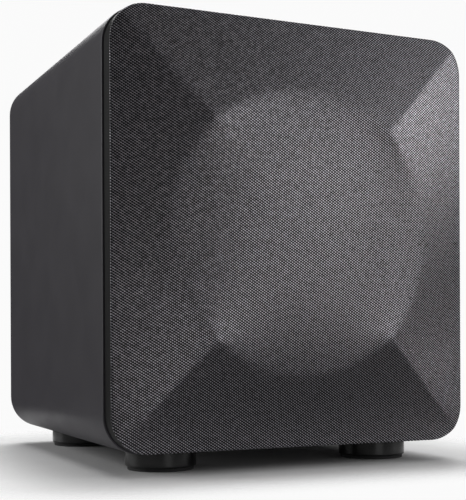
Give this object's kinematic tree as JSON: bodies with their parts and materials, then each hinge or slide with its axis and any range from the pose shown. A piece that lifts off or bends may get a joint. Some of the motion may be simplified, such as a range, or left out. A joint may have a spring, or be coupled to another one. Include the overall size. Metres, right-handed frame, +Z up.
{
  "type": "subwoofer",
  "caption": "Compact cube-shaped active subwoofer: rounded charcoal cabinet on round feet, faceted black cloth grille over a long-throw woofer, amplifier plate with knobs and jacks behind.",
  "frame": {"origin": "bottom centre of the whole part, on the surface that the feet stand on", "axes": "+X to the right seen from the front, the grille faces -Y, +Z up"},
  "size_m": [0.25, 0.2806, 0.2825],
  "materials": {
    "painted_board": "satin charcoal paint on fibreboard",
    "raw_board": "raw fibreboard",
    "wadding": "soft polyester wadding",
    "foot_plastic": "polished black",
    "foot_pad": "matt",
    "black_steel": "black plated",
    "basket_paint": "textured black powder coat",
    "seal_foam": "matt closed-cell foam",
    "surround_rubber": "semi-matt",
    "cone_paper": "coated paper pulp",
    "former_metal": "plain",
    "copper": "enamelled winding",
    "spider_cloth": "resin-treated cotton",
    "plated_steel": "zinc plated",
    "ferrite": "sintered, matt",
    "tag_board": "paper laminate",
    "braid": "silvered braid",
    "grille_plastic": "smooth black",
    "grille_cloth": "woven, with light thread crowns",
    "plate_paint": "fine textured black",
    "knob_plastic": "satin black",
    "control_case": "moulded",
    "jack_plate": "gilt plated",
    "jack_core": "moulded",
    "lens": "clear tinted",
    "sink_metal": "black anodised",
    "inlet_plastic": "moulded",
    "nickel": "nickel plated",
    "fuse_glass": "clear",
    "board": "solder mask on glass laminate",
    "chip": "moulded",
    "socket": "moulded nylon",
    "core_steel": "varnished laminations",
    "winding_tape": "tape over copper",
    "can": "sleeved can",
    "lead_sleeve": "soft sleeve"
  },
  "bodies": {
    "cabinet": {"cabinet_wrap": "painted_board", "front_baffle": "painted_board", "back_panel": "painted_board", "window_brace": "raw_board", "wadding_left": "wadding", "wadding_right": "wadding", "feet": "foot_plastic", "foot_pads": "foot_pad", "foot_screws": "black_steel", "basket": "basket_paint", "driver_screws": "black_steel", "driver_gasket": "seal_foam", "surround": "surround_rubber", "spider": "spider_cloth", "top_plate": "plated_steel", "ring_magnet": "ferrite", "pole_yoke": "plated_steel", "driver_terminals": "tag_board", "tinsel_leads": "braid", "grille_cups": "seal_foam", "amp_seal": "seal_foam", "amp_plate": "plate_paint", "amp_screws": "black_steel", "rotary_controls": "control_case", "control_nuts": "nickel", "slide_switches": "control_case", "jack_block": "control_case", "jack_barrels": "jack_plate", "jack_cores": "jack_core", "status_lens": "lens", "heat_sink": "sink_metal", "mains_inlet": "inlet_plastic", "inlet_blades": "nickel", "rocker_case": "inlet_plastic", "main_board": "board", "supply_board": "board", "board_spacers": "braid", "board_screws": "plated_steel", "transformer_core": "core_steel", "transformer_winding": "winding_tape", "reservoir_capacitors": "can", "power_chips": "chip", "filter_coils": "copper", "board_sockets": "socket", "driver_leads": "lead_sleeve"},
    "grille": {"grille_frame": "grille_plastic", "grille_fabric": "grille_cloth", "grille_pegs": "grille_plastic"},
    "cone_assembly": {"cone": "cone_paper", "dust_cap": "cone_paper", "voice_coil_former": "former_metal", "voice_coil": "copper"},
    "volume_knob": {"volume_knob": "knob_plastic"},
    "crossover_knob": {"crossover_knob": "knob_plastic"},
    "phase_lever": {"phase_lever": "knob_plastic"},
    "mode_lever": {"mode_lever": "knob_plastic"},
    "fuse_drawer": {"fuse_drawer": "inlet_plastic", "fuse": "fuse_glass"},
    "power_rocker": {"power_rocker": "inlet_plastic"}
  },
  "joints": [
    {"name": "grille_pull", "type": "slide", "parent": "cabinet", "child": "grille", "axis": [0, -1, 0], "range_m": [0, 0.03]},
    {"name": "cone_stroke", "type": "slide", "parent": "cabinet", "child": "cone_assembly", "axis": [0, -1, 0], "range_m": [-0.007, 0.007], "stiffness_N_per_m": 1100, "deforming": ["surround", "spider", "tinsel_leads"]},
    {"name": "volume_turn", "type": "hinge", "parent": "cabinet", "child": "volume_knob", "pos_m": [0.052, 0.1283, 0.2135], "axis": [0, 1, 0], "range_deg": [-150, 150]},
    {"name": "crossover_turn", "type": "hinge", "parent": "cabinet", "child": "crossover_knob", "pos_m": [0.012, 0.1283, 0.2135], "axis": [0, 1, 0], "range_deg": [-150, 150]},
    {"name": "phase_slide", "type": "slide", "parent": "cabinet", "child": "phase_lever", "axis": [-1, 0, 0], "range_m": [0, 0.004]},
    {"name": "mode_slide", "type": "slide", "parent": "cabinet", "child": "mode_lever", "axis": [1, 0, 0], "range_m": [-0.003, 0.003]},
    {"name": "fuse_drawer_pull", "type": "slide", "parent": "cabinet", "child": "fuse_drawer", "axis": [0, 1, 0], "range_m": [0, 0.012]},
    {"name": "power_rock", "type": "hinge", "parent": "cabinet", "child": "power_rocker", "pos_m": [0.006, 0.1273, 0.0835], "axis": [1, 0, 0], "range_deg": [0, 16]}
  ]
}
